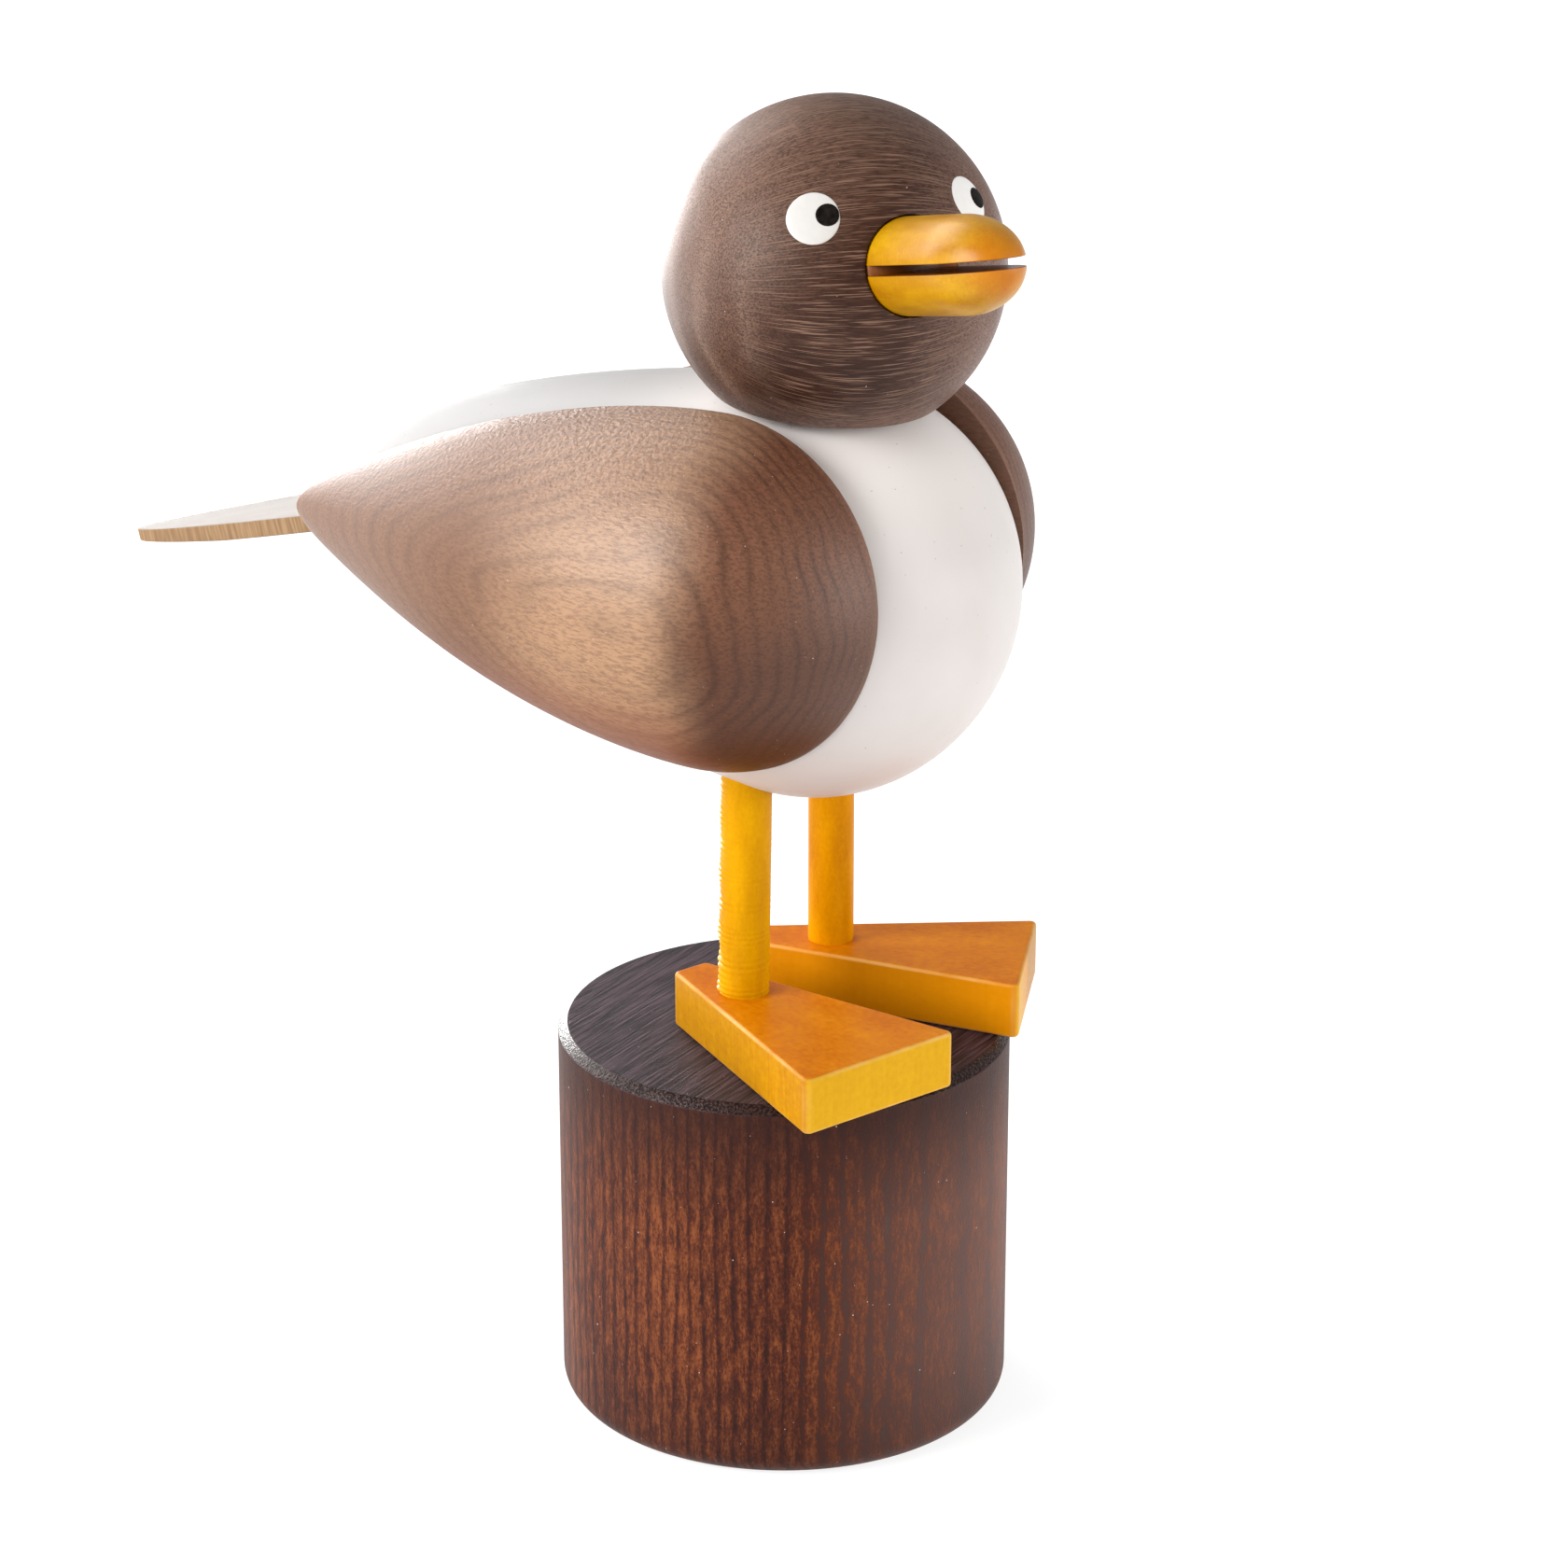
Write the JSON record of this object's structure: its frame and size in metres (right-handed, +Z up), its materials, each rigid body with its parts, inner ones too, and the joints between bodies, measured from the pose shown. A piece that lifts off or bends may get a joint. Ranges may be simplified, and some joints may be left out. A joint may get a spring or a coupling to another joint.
{
  "type": "wooden seagull on stand",
  "caption": "Turned and glued wooden seagull with brown wings and head, white body and yellow beak, legs and feet, standing on a dark round block.",
  "frame": {"origin": "centre of the stand's flat underside", "axes": "+Z up along the stand's turning axis; the bird's breast faces -Y, its tail points to +Y and +X is its left side"},
  "size_m": [0.0714, 0.1377, 0.1622],
  "materials": {
    "dark_stain": "dark brown stain, oiled, satin",
    "brown_stain": "walnut brown stain, satin",
    "yellow_stain": "transparent yellow stain, satin",
    "white_lacquer": "white satin lacquer",
    "tail_wood": "white satin lacquer on the faces, bare wood on the edge",
    "eye_white": "gloss white paint",
    "eye_black": "gloss black paint"
  },
  "bodies": {
    "root": {"stand": "dark_stain", "foot_right": "yellow_stain", "foot_left": "yellow_stain", "leg_right": "yellow_stain", "leg_left": "yellow_stain", "body": "white_lacquer", "wing_right": "brown_stain", "wing_left": "brown_stain", "tail": "tail_wood", "head": "brown_stain", "beak": "yellow_stain"}
  },
  "joints": []
}
